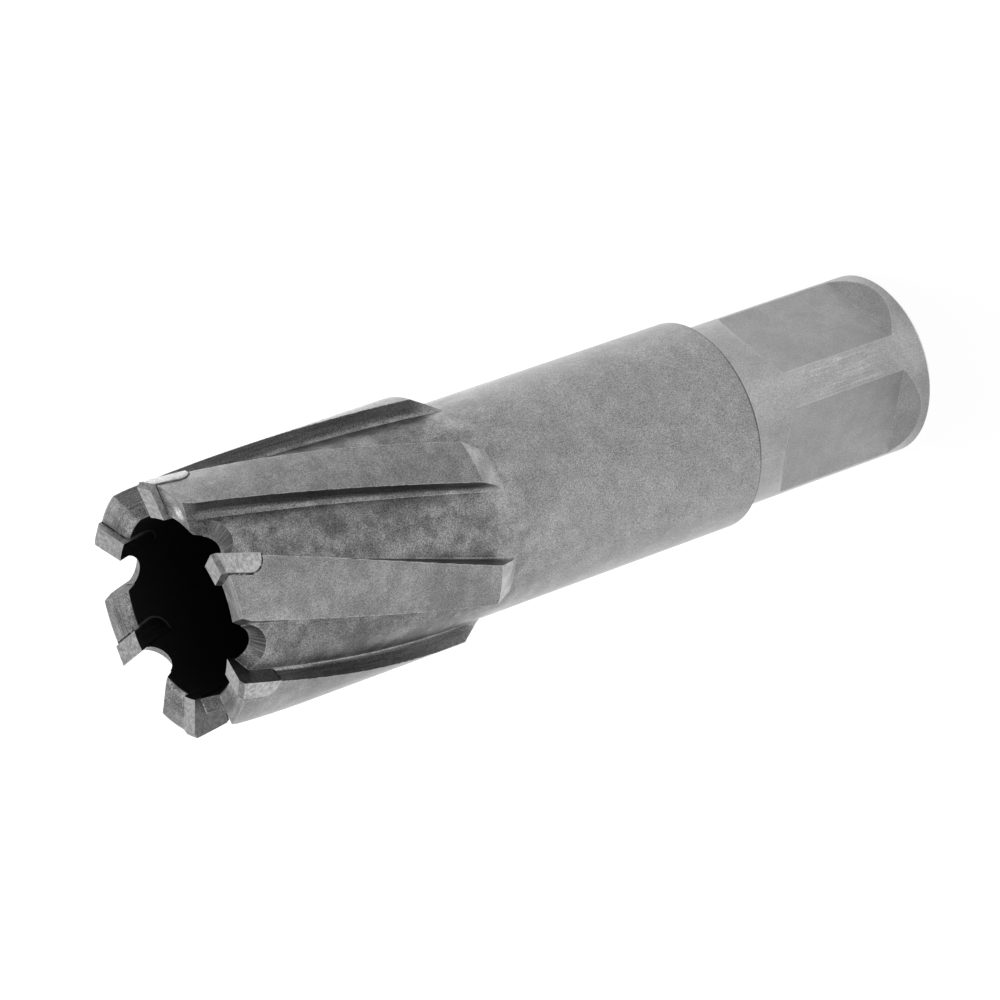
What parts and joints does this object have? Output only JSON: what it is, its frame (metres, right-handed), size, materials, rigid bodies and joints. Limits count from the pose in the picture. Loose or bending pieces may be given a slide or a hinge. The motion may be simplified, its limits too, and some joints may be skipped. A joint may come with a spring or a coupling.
{
  "type": "annular cutter",
  "caption": "Hollow hole cutter with helical flutes, brazed carbide tips round its open end and a side-lock shank with drive flats.",
  "frame": {"origin": "centre of the shank's end face", "axes": "+Z along the cutter's axis, from the shank to the teeth; +X and +Y are the outward normals of the two drive flats"},
  "size_m": [0.0254, 0.025, 0.0886],
  "materials": {
    "steel": "matte, bead-blasted",
    "carbide": "fine-grained, ground edges",
    "braze": "grainy silver braze"
  },
  "bodies": {
    "root": {"cutter_body": "steel", "carbide_tip_1": "carbide", "carbide_tip_2": "carbide", "carbide_tip_3": "carbide", "carbide_tip_4": "carbide", "carbide_tip_5": "carbide", "carbide_tip_6": "carbide", "braze_seam_1": "braze", "braze_seam_2": "braze", "braze_seam_3": "braze", "braze_seam_4": "braze", "braze_seam_5": "braze", "braze_seam_6": "braze"}
  },
  "joints": []
}
